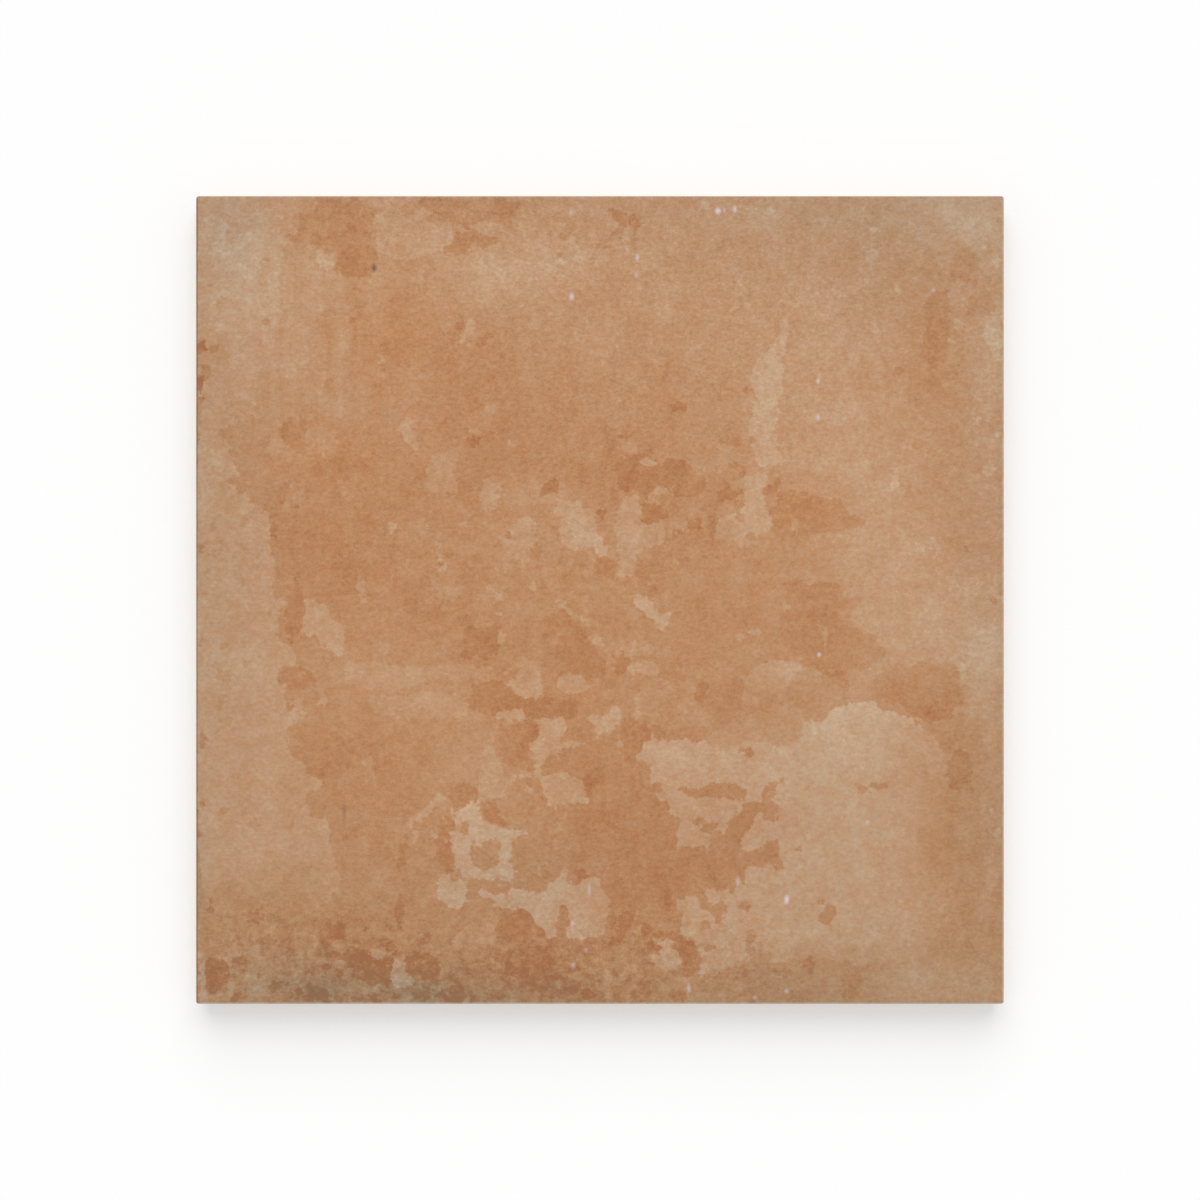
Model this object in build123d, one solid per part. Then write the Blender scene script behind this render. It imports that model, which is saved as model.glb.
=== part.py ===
from build123d import *

import os
from math import radians, tan

# A square porcelain floor tile, dry-pressed and fired as one piece.
# The origin is the centre of the back, in the plane of the rib tops that the
# tile lies on. +Z points from the back to the glazed face.

# Outline and edge, in millimetres and degrees.
tile_side = 200.0  # across the upright part of the edge
tile_thickness = 9.0  # from the rib tops to the glazed face
face_corner_radius = 0.15  # corner of the flat face, seen from above
arris_radius = 0.5  # rounding between the face and the edge
skirt_height = 3.4  # lower part of the edge, which tapers to the back
skirt_step = 0.3  # ledge where the two halves of the press mould met
skirt_draft = 7.0  # taper of the lower part, in degrees from upright
heel_bevel = 0.4  # bevel between the lower part and the back
heel_corner_radius = 0.8  # corner of the flat back inside the bevel

# Ribbed back, which keys into the adhesive.
back_margin = 7.0  # plain band around the ribbed field
rib_width = 2.2  # rib tops between two recesses
recess_count = 10  # along a side, even so that ribs cross at the centre
recess_corner_cut = 1.5  # length cut off each side at a corner of a recess
recess_depth = 0.8
recess_draft = 35.0  # taper of the recess walls, in degrees from upright


def upper_body():
    """The upright part of the edge, the rounded arris and the face."""
    outline = RectangleRounded(
        tile_side, tile_side, face_corner_radius + arris_radius
    )
    body = extrude(Pos(Z=skirt_height) * outline, tile_thickness - skirt_height)
    face_rim = body.faces().sort_by(Axis.Z)[-1].edges()
    return fillet(face_rim, arris_radius)


def skirt():
    """The lower part of the edge, which tapers from the step to the back."""
    side = tile_side - 2 * skirt_step
    body = extrude(Rectangle(side, side), skirt_height, taper=skirt_draft)
    slanted_corners = body.edges().filter_by(
        lambda edge: edge.bounding_box().size.Z > skirt_height / 2
    )
    body = fillet(slanted_corners, heel_corner_radius + heel_bevel)
    back_rim = body.faces().sort_by(Axis.Z)[-1].edges()
    body = chamfer(back_rim, heel_bevel)
    facing_down = Plane(origin=(0, 0, skirt_height), z_dir=(0, 0, -1))
    return facing_down * body


def recess_side():
    """Side of one recess, from what the margins and ribs leave of the back."""
    taper = skirt_height * tan(radians(skirt_draft))
    back_side = tile_side - 2 * (skirt_step + taper + heel_bevel)
    field_side = back_side - 2 * back_margin
    return (field_side - (recess_count - 1) * rib_width) / recess_count


def back_recesses():
    """The recesses between the ribs, with tapered walls and cut corners."""
    side = recess_side()
    outline = Rectangle(side, side)
    outline = chamfer(outline.vertices(), recess_corner_cut)
    recess = extrude(outline, recess_depth, taper=recess_draft)
    pitch = side + rib_width
    places = GridLocations(pitch, pitch, recess_count, recess_count)
    return [place * recess for place in places]


def porcelain_tile():
    """The whole tile as one solid."""
    return upper_body() + skirt() - back_recesses()


os.makedirs("parts", exist_ok=True)
export_step(porcelain_tile(), "parts/porcelain_tile.step")
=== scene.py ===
from math import cos, pi, radians, sin, tan

import bpy
import numpy as np
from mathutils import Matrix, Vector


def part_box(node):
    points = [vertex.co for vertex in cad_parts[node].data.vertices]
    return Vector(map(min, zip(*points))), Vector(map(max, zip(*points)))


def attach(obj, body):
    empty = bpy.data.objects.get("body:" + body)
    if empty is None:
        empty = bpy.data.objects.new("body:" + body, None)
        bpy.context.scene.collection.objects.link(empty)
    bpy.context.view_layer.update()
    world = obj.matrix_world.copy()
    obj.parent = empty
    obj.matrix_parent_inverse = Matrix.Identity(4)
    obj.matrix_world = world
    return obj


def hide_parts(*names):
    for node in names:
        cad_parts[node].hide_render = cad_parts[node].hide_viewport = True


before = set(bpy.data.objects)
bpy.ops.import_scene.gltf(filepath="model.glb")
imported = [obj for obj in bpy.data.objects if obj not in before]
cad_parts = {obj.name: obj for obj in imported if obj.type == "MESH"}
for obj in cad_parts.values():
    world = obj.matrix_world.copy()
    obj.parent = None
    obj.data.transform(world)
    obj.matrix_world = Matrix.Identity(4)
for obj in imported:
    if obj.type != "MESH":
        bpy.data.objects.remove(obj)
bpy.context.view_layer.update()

# A porcelain tile that looks like worn terracotta. Shapes and the places of the
# print are in millimetres, with the origin in the centre of the tile, +X to the
# right and +Y to the top of the picture. The mesh itself is in metres.

tile_low, tile_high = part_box("porcelain_tile")
MM = 0.001

# Driving sizes of the tile, in millimetres and degrees.
tile_side = (tile_high[0] - tile_low[0]) / MM
tile_thickness = (tile_high[2] - tile_low[2]) / MM
half_side = tile_side / 2
arris_radius = 0.5
face_corner_radius = 0.15
skirt_height = 3.4
skirt_step = 0.3
skirt_draft = 7.0
skirt_corner_radius = 1.0
heel_bevel = 0.4
heel_corner_radius = 0.8
back_margin = 7.0
rib_width = 2.2
recess_count = 10
recess_depth = 0.8
recess_draft = 35.0
recess_corner_radius = 2.2

# Softened edges: of the ledge above the skirt, of the ribs, and of the foot of
# the recess walls, where they run out into the floor.
ledge_rise = 0.12
ledge_inset = 0.08
rib_rounding = 0.12
rib_rounding_depth = rib_rounding * 0.8
foot_rise = 0.15
foot_widening = 0.25
foot_run_out = 0.5

# How far below the arris the glaze has faded out, and how far below the face
# the print is stored.
glaze_fade = 0.8
print_depth = 2.0

# Fineness of the mesh, with grid lines closer together near the corners.
corner_lines = [0.0, 0.3, 0.65, 1.2, 2.0]
segments_per_recess = 20
side_segments = recess_count * segments_per_recess
arris_steps = 4


def side_positions():
    """Places of the grid lines along a side."""
    inner = side_segments - 2 * (len(corner_lines) - 1)
    left = [-half_side + step for step in corner_lines]
    right = [half_side - step for step in reversed(corner_lines)]
    middle = np.linspace(left[-1], right[0], inner + 1)[1:-1]
    return np.array(left + list(middle) + right)


def square_loop(along, half, radius):
    """Points round a square with rounded corners, anticlockwise from the lower left."""
    along = np.asarray(along) * half / abs(along[0])
    flat = np.full(len(along) - 1, half)
    x = np.concatenate([along[:-1], flat, along[:0:-1], -flat])
    y = np.concatenate([-flat, along[:-1], flat, along[:0:-1]])
    centre = half - radius
    over_x = np.abs(x) - centre
    over_y = np.abs(y) - centre
    in_corner = (over_x > 0) & (over_y > 0)
    reach = np.hypot(over_x, over_y)
    scale = np.where(in_corner, radius / np.where(in_corner, reach, 1.0), 1.0)
    x = np.where(in_corner, np.sign(x) * (centre + over_x * scale), x)
    y = np.where(in_corner, np.sign(y) * (centre + over_y * scale), y)
    return x, y


class Mesh:
    """Collects the points and faces of one mesh, in millimetres."""

    def __init__(self):
        self.points = []
        self.faces = []
        self.count = 0

    def add(self, x, y, z):
        """Adds points and returns their numbers."""
        x, y, z = np.broadcast_arrays(x, y, z)
        numbers = np.arange(self.count, self.count + x.size).reshape(x.shape)
        self.points.append(np.stack([x.ravel(), y.ravel(), z.ravel()], axis=1))
        self.count += x.size
        return numbers

    def strip(self, outer, inner):
        """Joins two loops of equal length with quads."""
        corners = [outer, np.roll(outer, -1), np.roll(inner, -1), inner]
        self.faces += np.stack(corners, axis=1).tolist()

    def grid(self, numbers):
        """Quads over a square table of points, numbered row by row."""
        corners = [numbers[:-1, :-1], numbers[:-1, 1:], numbers[1:, 1:], numbers[1:, :-1]]
        self.faces += np.stack([corner.ravel() for corner in corners], axis=1).tolist()


def grid_rim(numbers):
    """The rim of a square table of points, in the order of square_loop."""
    return np.concatenate(
        [numbers[0, :-1], numbers[:-1, -1], numbers[-1, :0:-1], numbers[:0:-1, 0]]
    )


def skirt_inset(rise):
    """Inset of the tapered skirt at a distance below the ledge."""
    return skirt_step + tan(radians(skirt_draft)) * rise


def edge_profile():
    """Inset, height and corner radius of each loop from the face to the back."""
    outer_radius = face_corner_radius + arris_radius
    rows = []
    for step in range(1, arris_steps + 1):
        angle = radians(90 * step / arris_steps)
        inset = arris_radius * (1 - sin(angle))
        height = tile_thickness - arris_radius * (1 - cos(angle))
        rows.append((inset, height, outer_radius - inset))
    rows += [
        (0.0, tile_thickness - arris_radius - glaze_fade, outer_radius),
        (0.0, skirt_height + ledge_rise, outer_radius),
        (ledge_inset, skirt_height, outer_radius),
        (skirt_step, skirt_height, outer_radius),
        (skirt_inset(skirt_height / 2), skirt_height / 2, skirt_corner_radius),
        (skirt_inset(skirt_height - heel_bevel), heel_bevel, heel_corner_radius + heel_bevel),
        (skirt_inset(skirt_height) + heel_bevel, 0.0, heel_corner_radius),
    ]
    return rows


def back_side():
    """Side of the flat back inside the heel bevel."""
    return tile_side - 2 * (skirt_inset(skirt_height) + heel_bevel)


def add_recess(mesh, rim, centre_x, centre_y, side):
    """One recess of the back, from the shared rim on the rib tops to its floor."""
    wall = recess_depth * tan(radians(recess_draft))
    rings = [
        (side + 2 * rib_rounding, 0.0),
        (side - rib_rounding, rib_rounding_depth),
        (side - 2 * wall + foot_widening, recess_depth - foot_rise),
        (side - 2 * wall - foot_run_out, recess_depth),
    ]
    along = np.linspace(-1, 1, segments_per_recess + 1)
    outer = rim
    for ring_side, depth in rings:
        x, y = square_loop(along, ring_side / 2, recess_corner_radius)
        inner = mesh.add(centre_x + x, centre_y + y, depth)
        mesh.strip(inner, outer)
        outer = inner
    mesh.faces.append(outer[::-1].tolist())


def add_back(mesh, heel):
    """The margin, the ribs and the recesses of the back."""
    field = back_side() - 2 * back_margin
    side = (field - (recess_count - 1) * rib_width) / recess_count
    pitch = side + rib_width
    half_field = pitch * recess_count / 2
    lines = np.linspace(-half_field, half_field, side_segments + 1)
    numbers = np.full((side_segments + 1, side_segments + 1), -1)
    on_rib = np.arange(side_segments + 1) % segments_per_recess == 0
    rows, columns = np.nonzero(on_rib[:, None] | on_rib[None, :])
    numbers[rows, columns] = mesh.add(lines[columns], lines[rows], 0.0)
    mesh.strip(grid_rim(numbers), heel)
    for row in range(recess_count):
        for column in range(recess_count):
            low, left = row * segments_per_recess, column * segments_per_recess
            high, right = low + segments_per_recess, left + segments_per_recess
            rim = grid_rim(numbers[low : high + 1, left : right + 1])
            centre_x = (column + 0.5 - recess_count / 2) * pitch
            centre_y = (row + 0.5 - recess_count / 2) * pitch
            add_recess(mesh, rim, centre_x, centre_y, side)


def tile_mesh():
    """The whole skin of the tile as one closed mesh."""
    mesh = Mesh()
    along = side_positions()
    face_half = half_side - arris_radius
    lines = along * face_half / half_side
    face = mesh.add(lines[None, :], lines[:, None], tile_thickness)
    mesh.grid(face)
    outer = grid_rim(face)
    for inset, height, radius in edge_profile():
        x, y = square_loop(along, half_side - inset, radius)
        loop = mesh.add(x, y, height)
        mesh.strip(loop, outer)
        outer = loop
    add_back(mesh, outer)
    return mesh


# The print, as a worn pale layer over a deep orange one. Places are in
# millimetres. A patch is (strength, points of its outline), and its strength
# is what it adds to the tone, or takes from it where it is deep.
PALE_PATCHES = [
    # The field along the left edge.
    (1.3, [
        (-98.2, 60), (-85, 60), (-85.3, 53), (-85, 44.5), (-86, 46), (-87, 47.5), (-87.8, 49.5),
        (-89, 50.5), (-91.3, 50), (-91.4, 46), (-90, 44.3), (-91, 43.3), (-93.3, 42.6), (-94.3, 41.4),
        (-92.2, 39.8), (-91.4, 37.5), (-90.7, 35), (-90.1, 33), (-89.6, 31), (-93.4, 30), (-89.5, 27),
        (-86, 24), (-82, 22), (-81.8, 15), (-81.2, 10), (-80.3, 9), (-80.2, 6), (-81.1, 3), (-80, 0),
        (-78.5, 0.2), (-79.4, -4), (-79.8, -10), (-78, -11), (-76, -11.3), (-75.3, -13), (-76, -16),
        (-78.3, -16.8), (-79.8, -17.8), (-79, -20), (-78, -24), (-77.5, -26.5), (-76.3, -28.3),
        (-75.8, -25.5), (-75, -23.4), (-73.9, -24), (-73.3, -27.5), (-74.5, -29.3), (-77, -31.2),
        (-77.3, -34), (-77.2, -37.2), (-75, -39.5), (-73, -42), (-70.8, -43.6), (-69.2, -44.2),
        (-68.3, -45.8), (-70, -47.7), (-71.8, -47.3), (-72.5, -51), (-70.8, -53.6), (-69, -53.7),
        (-68, -52.8), (-67.7, -55), (-66.6, -61), (-66.5, -74), (-98.2, -74),
    ]),
    (1.4, [
        (-73, 0.3), (-71, 0.5), (-68, -1.5), (-66.5, -4.5), (-63, -6.5), (-63, -9.5), (-65, -14.8),
        (-66.5, -13.5), (-69.5, -10.3), (-72.5, -8.8), (-73.8, -7), (-73.2, -4),
    ]),
    # The ring, and what lies round and below it.
    (2.0, [
        (-36.8, -52.5), (-36.3, -51.7), (-34.5, -52), (-30.8, -50), (-29.8, -49.8), (-29.7, -53),
        (-28.7, -54.5), (-26, -55.5), (-22, -57), (-20, -57), (-18.7, -57.7), (-20.5, -59.3),
        (-22.3, -62.3), (-22, -64), (-21.2, -67), (-18, -66.4), (-17.8, -66.9), (-21.7, -68),
        (-22.3, -69.7), (-25, -69), (-27.5, -69.3), (-31.7, -69), (-33.5, -68.6), (-35.3, -65),
        (-36.5, -61), (-37.7, -60), (-37.8, -58.5), (-35.8, -56), (-36, -54),
    ]),
    (1.9, [
        (-40, -70), (-39.5, -68), (-38, -67.5), (-35.5, -69.5), (-33.5, -70), (-32.8, -72.5),
        (-33.8, -76.5), (-35, -77.2), (-37.5, -75.3), (-39.5, -74.5), (-40.3, -72.5),
    ]),
    (2.1, [
        (-30.5, -71.5), (-28, -71), (-26.8, -72.5), (-23.5, -72.5), (-20.5, -71.3), (-15.5, -72),
        (-13, -71.8), (-12.7, -69.8), (-10.5, -69.3), (-9, -67), (-8.6, -69.8), (-5.5, -70),
        (-3.5, -68), (0, -69.5), (0.5, -71.5), (2.5, -74.5), (2, -77), (0.5, -83), (-2, -84),
        (-7.8, -83.5), (-11.8, -84.5), (-13.5, -83), (-17.5, -77.7), (-19, -76.5), (-25, -76),
        (-27.5, -73.8), (-29.5, -74),
    ]),
    (0.7, [
        (-37, -84), (-34, -81.5), (-31, -80), (-27, -80), (-26, -82), (-26.5, -85), (-30, -86),
        (-36, -86),
    ]),
    (1.4, [(-58.5, -86), (-55.5, -86.2), (-53.3, -87), (-54.8, -90), (-57, -88.3)]),
    (1.6, [
        (-51.3, -90), (-49, -89.5), (-48, -91.5), (-46.8, -93.5), (-46, -95), (-50, -96),
        (-51.2, -94.5),
    ]),
    # Paler ground above the wide field.
    (0.6, [
        (9.5, -21), (12, -20), (22.5, -20.3), (23, -25), (26, -27.5), (27.5, -31.3), (15, -31.5),
        (12.5, -29), (10, -28),
    ]),
    (0.7, [
        (28, -32), (33, -30), (38, -27.5), (46, -25), (50, -28), (50, -34), (44, -37), (38, -35),
        (31, -37.5), (27, -36),
    ]),
    # Strokes and bands below and left of the centre.
    (1.4, [(-47.8, -54), (-43.5, -52), (-39.5, -47.8), (-38.5, -49), (-42.5, -53), (-47, -55.3)]),
    (1.2, [(-45.5, -53.6), (-44.5, -53.8), (-40.7, -58.2), (-41.3, -58.8)]),
    (1.6, [(-22.5, -20), (-19, -19.3), (-15.3, -20), (-15, -23.8), (-18, -24.3), (-21.5, -22.8)]),
    (0.7, [
        (-62, -15.5), (-48, -16.5), (-38, -16), (-28, -16.5), (-28, -19), (-40, -19.5), (-50, -22),
        (-62, -21),
    ]),
    (0.6, [(-56, -24), (-40, -23), (-33, -25), (-34, -28.5), (-45, -29.5), (-56, -28)]),
    (0.8, [(-20, -15), (-15.5, -15.5), (-14.5, -19), (-19.5, -19.5)]),
    (0.9, [(-29.5, -38), (-27, -36.5), (-25, -40), (-23, -46), (-26, -50), (-30, -47)]),
    (1.3, [(-10, -19.2), (-5.5, -18.6), (-3, -20), (-3.5, -22.8), (-9, -23)]),
    (1.3, [(-26, -27.6), (-19.4, -27.4), (-19, -29.2), (-25.5, -29.4)]),
    (1.7, [
        (-20, -27.5), (-18.5, -29), (-16, -29.7), (-9.5, -29), (-8.3, -32), (-10, -34.5), (-5, -34.5),
        (-2, -34.2), (-1.5, -35), (-5.5, -36.3), (-9.8, -36.3), (-10.2, -39.5), (-12, -38.3),
        (-13.7, -41), (-14, -43.5), (-15.5, -44), (-16.5, -40), (-16.5, -38), (-18, -35.5),
        (-17.8, -34.8), (-16, -34.3), (-14.8, -31.5), (-16.5, -30.8), (-20, -30),
    ]),
    (1.8, [
        (-14.5, -44.5), (-12.5, -43), (-8, -42.5), (-6.5, -43.5), (-4.5, -45), (-3.3, -48),
        (-2.2, -50.5), (-4.5, -50.6), (-6, -50), (-10.5, -51.3), (-12.5, -51.3), (-13.5, -48.5),
        (-14.5, -46),
    ]),
    (1.7, [
        (2.8, -25.7), (4.8, -26.3), (5.3, -30.2), (4, -31.2), (2.5, -33.3), (-1.3, -32.8), (-1, -31),
        (-3.3, -29.5), (-3.5, -28.7), (1.5, -29.2), (2.8, -28.3),
    ]),
    (1.3, [(9.5, -23), (8.2, -25), (8.8, -27.4), (7.3, -28.2), (8, -29.4), (10, -28.6), (9.3, -25.5)]),
    # The middle.
    (1.9, [
        (8.3, 1), (11, 1), (12, -0.3), (15, -3), (17.5, -4), (16.5, -5), (16.8, -6), (15.3, -7.5),
        (14, -6.3), (13, -4.8), (11, -4), (11.3, -3), (10, -1.8), (8.3, -0.5),
    ]),
    (1.4, [
        (7.5, -17.2), (8, -16.2), (11, -15), (12.5, -14.4), (14, -15.5), (14.5, -17), (14, -18.6),
        (12.5, -19), (8.5, -18),
    ]),
    (0.9, [(4, -12.8), (7.5, -11), (11, -9.5), (14, -11), (13.5, -13.8), (9.5, -13.8), (6, -13.3)]),
    (1.2, [
        (-10.6, 2.2), (-9.2, 1.6), (-8.3, -0.8), (-6.6, -2.5), (-5, -4.4), (-7.5, -3.6), (-10.4, -0.8),
    ]),
    (1.2, [
        (-3.9, -4.8), (-3.2, -5.2), (-2.8, -7.6), (-0.4, -9), (1.2, -11.6), (0.4, -11.8), (-2.4, -9),
    ]),
    (1.4, [
        (35, -20.5), (35.3, -19), (38.3, -17.3), (40.2, -15.2), (42, -14.8), (47.3, -14.8),
        (50.8, -17.1), (48, -18), (46, -23), (42, -26), (37, -26),
    ]),
    (1.5, [
        (-10, 20.5), (-9.8, 14.6), (-8, 12.6), (-5.5, 12.2), (-4, 13), (-1.4, 12.6), (0.2, 10.8),
        (1.3, 11.2), (1.2, 14.6), (0, 15.2), (-1, 17), (-0.8, 19.5), (-3, 22), (-7, 24.5),
    ]),
    (1.2, [
        (-19.5, 20), (-16.5, 20), (-15.8, 15.5), (-17, 12), (-17.5, 9), (-19.5, 7.5), (-21, 11),
        (-24.3, 12.8), (-24.6, 15.2), (-22, 18),
    ]),
    (1.2, [
        (4, 20), (6, 25), (9.5, 26), (9.8, 22), (12, 19), (15, 20), (16, 15.5), (14, 13.7), (9, 12),
        (8.5, 6.5), (5, 6.5), (4.2, 12),
    ]),
    (1.2, [
        (35.6, 22), (35.8, 17), (34, 14.6), (34.5, 13.5), (37, 13.3), (38.8, 14), (39.5, 16.6),
        (41.8, 18), (42, 21), (40.5, 26), (41, 31), (36, 30),
    ]),
    (1.0, [(28.5, 15.2), (34, 14.8), (35.5, 18), (33.5, 21), (30, 20), (28.8, 18)]),
    # The long streak at the upper right.
    (1.1, [
        (44.8, 69), (46.8, 68.5), (46, 63.5), (45, 55), (44.6, 46), (43.5, 45), (42.8, 43.5),
        (44, 38.5), (44.6, 36), (46.8, 34), (42, 33.3), (38.5, 35), (37.5, 42), (37.8, 46.5),
        (39, 49.5), (37.6, 53), (37.8, 57), (39.8, 61), (42.6, 63.5),
    ]),
    # The top of the picture.
    (0.8, [
        (-56, 99.2), (-44.5, 99.2), (-43.6, 96.3), (-42.3, 95.4), (-43.3, 94), (-41, 93.8),
        (-39.5, 91.3), (-36, 90.4), (-36.5, 89.2), (-39.3, 88.4), (-39.3, 86.8), (-45, 84.3),
        (-50, 84.5), (-55, 87), (-55.5, 91), (-56.8, 94), (-55.5, 96.5),
    ]),
    (1.3, [
        (-70.5, 86), (-69, 87.3), (-68, 86), (-65.6, 86), (-66.3, 83), (-67, 81.8), (-69.5, 82.3),
        (-70, 84),
    ]),
    (1.1, [
        (-34, 66.5), (-32, 69), (-31.3, 68.3), (-31.5, 66), (-33, 64.5), (-30.8, 62), (-33.7, 63.2),
        (-35, 65.2),
    ]),
    # The right edge.
    (0.8, [(87, 79), (92, 78.5), (92.5, 76), (90, 73), (87.5, 72), (86.5, 75)]),
    (1.0, [(96, 70), (98.8, 71), (99, 60), (97, 61), (95, 65)]),
    # The foot.
    (0.9, [(0.2, -91.5), (3, -92.5), (2.5, -96), (1.5, -98.5), (0.3, -97)]),
    (0.9, [(-88, -83), (-85.5, -83.5), (-84.7, -91), (-84.5, -98.5), (-86.5, -98), (-87.8, -90)]),
    (0.8, [(-92.2, -84), (-90.8, -84.5), (-90.8, -98), (-92, -98.5)]),
    # Near the top edge.
    (0.9, [(-8.3, 90.5), (-7.8, 91.5), (-6.3, 91.3), (-5.5, 89), (-5.7, 86.5), (-7.5, 86.3)]),
    (0.8, [(-6.5, 85.2), (-3.5, 86.3), (-1.5, 85.8), (-1.8, 84), (-4.5, 83.5), (-7, 84)]),
    # The left half.
    (1.0, [
        (-42.6, 34.5), (-39, 36.5), (-35, 35.8), (-36.5, 31), (-34.5, 29.5), (-34.6, 26.9),
        (-40.5, 26.8), (-42.6, 26),
    ]),
    (1.1, [
        (-49.3, 44), (-47, 45.2), (-44.6, 45), (-46, 42), (-45.4, 39.5), (-44.8, 37), (-47, 38),
        (-49, 40.5),
    ]),
    (0.9, [(-72.5, 42), (-69, 43), (-66, 41.5), (-65, 38), (-67, 35.5), (-70.5, 37), (-72.4, 39)]),
    (0.8, [(-82.8, 38.5), (-80, 40), (-77.3, 38.5), (-77.5, 35.8), (-81, 35.6)]),
    (1.1, [(-30, 30), (-26, 29), (-25.3, 23.5), (-26.8, 22.3), (-29.5, 23), (-29.6, 26.5)]),
    # The wide field at the lower right.
    (2.0, [
        (21, -54.3), (19, -53.7), (16.7, -51.5), (16.3, -50), (13.3, -48.8), (16, -47.3), (15.2, -46),
        (16, -45), (14.5, -45), (12.8, -44.8), (12.3, -41), (9.8, -39.7), (9.5, -38.5), (11, -35.3),
        (13.3, -33.5), (15, -34.3), (25, -34.7), (31, -36.5), (38, -34.2), (44, -36), (49.5, -33.7),
        (50.2, -30.2), (55, -29.8), (57.5, -27.3), (61, -26), (65, -25.5), (68, -25.3), (68.5, -27),
        (74, -27.5), (78, -31), (84, -36), (86, -50), (86, -70), (80, -88), (60, -89.3), (50, -88.5),
        (43, -90), (36, -89.3), (31, -91.5), (27, -94), (24.8, -91), (24.8, -85), (20.5, -84.5),
        (19.5, -70), (19.5, -55.5),
    ]),
    (1.8, [
        (14.5, -85.2), (16, -84), (17.3, -84.8), (17.6, -86.8), (19.8, -87.3), (19, -91), (16, -92),
        (13.5, -91), (12, -89), (15, -87.8),
    ]),
]

# Orange that shows through the pale patches.
PALE_CUTS = [
    # Holes in the ring and in the patches beside it.
    [
        (-31.8, -60.2), (-30.5, -60), (-30, -61.3), (-28.8, -60.2), (-27.5, -59.3), (-25, -59.2),
        (-24.6, -61), (-25.3, -65), (-27, -66.7), (-29, -66.8), (-31, -65.8), (-32.2, -64),
    ],
    [(-34.2, -55), (-32.6, -54.8), (-32.2, -57), (-33.6, -57.8)],
    [
        (-9.2, -76), (-8, -76.3), (-7.8, -79), (-8.9, -82), (-7.9, -83), (-9.3, -84), (-11.2, -83.2),
        (-10.2, -79.5),
    ],
    [(-20, -66.4), (-13.5, -66.4), (-12.8, -69.4), (-13.6, -71.6), (-19.5, -71)],
    # The forked orange body in the lower right field.
    [
        (19, -46), (25.3, -46.8), (27.3, -45.5), (30.5, -45.5), (33.5, -45.7), (36.3, -47),
        (35.8, -49.8), (39.5, -50.3), (40.5, -49.7), (40.6, -46.7), (41.8, -45.7), (44.8, -44.7),
        (43.2, -46.7), (43, -49.5), (44.5, -50), (44.6, -51.3), (43.8, -54.2), (42.3, -54.7),
        (40.5, -54), (40.2, -52.5), (38.7, -52.3), (38.3, -54.8), (36.5, -56.3), (36.3, -57.5),
        (34.3, -59.5), (35.5, -61.5), (37.5, -62.1), (40, -60.8), (44, -59.2), (44.8, -62), (44.3, -63),
        (45.3, -64.5), (45, -66.3), (42.8, -65.2), (41, -65.2), (40, -66.2), (36.5, -65.8),
        (35.8, -66.8), (36.3, -71), (34.8, -69.5), (33, -72.5), (29.5, -71.5), (27, -71.5), (25, -73),
        (18, -73), (18, -62.8), (22.5, -61.2), (24.8, -61.9), (27.2, -61.8), (26.8, -58.7), (25.3, -56),
        (23.3, -55.3), (23.2, -54.2), (25, -53), (27, -55.3), (28.8, -55.5), (30, -57.9), (31, -57.8),
        (31.8, -55), (33.6, -53), (35, -53), (34.9, -50.2), (31.5, -49), (27.5, -48.5), (26, -47.8),
        (22, -49),
    ],
    # Small holes in that field.
    [
        (25.8, -72.8), (28.6, -72.5), (26.9, -73.6), (27.3, -74.8), (30.3, -75), (31.2, -76.6),
        (31.2, -78.6), (30.4, -80.3), (28.6, -80.3), (27, -77.3), (24.6, -76.8), (24.3, -74.4),
    ],
    [(35, -75), (35.8, -74.6), (37.3, -77), (34.8, -76.2)],
    [
        (54.6, -74.6), (56.3, -75), (58.2, -76.2), (57.8, -78), (56.3, -80.2), (54.2, -79.8),
        (54.8, -77.5),
    ],
    [(49.3, -60.8), (50.2, -61.2), (49.8, -62.9), (48.7, -62.3)],
    [
        (35.5, -83.7), (37.7, -82.8), (38.5, -84.3), (37.7, -86.8), (42, -87.3), (42.9, -88.5),
        (40.5, -90.3), (38.2, -88.6), (36.7, -88.5), (36, -87),
    ],
    [(25.5, -85.7), (28.2, -85.8), (28.3, -86.8), (25.5, -86.9)],
    [(15.5, -33), (16.5, -32), (22, -31.5), (25.5, -31.8), (26.5, -33), (25.3, -34.3), (17, -34.4)],
    [(34.2, -36.4), (37.9, -36.6), (36.7, -38.5)],
    [(63.3, -45.7), (65, -45.6), (66.7, -46.6), (66.5, -47.8), (64, -47.7)],
    [(67, -45.6), (70.7, -45.5), (70.5, -46.7), (68, -46.6)],
    # Holes at the top and in the middle.
    [(-49.9, 98.3), (-48.3, 98), (-46.3, 96.2), (-46.8, 95.4), (-49, 95.7)],
    [(-0.8, 18.6), (0.6, 18.6), (1.2, 17), (3, 17), (2.8, 16), (1.2, 15.3), (-0.5, 15.6)],
    [(8.4, 16.8), (9.5, 16.9), (9.5, 14.8), (8.4, 14.8)],
    [(36.5, 17), (38, 17.3), (38, 14.6), (36.6, 14.7)],
]

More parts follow.
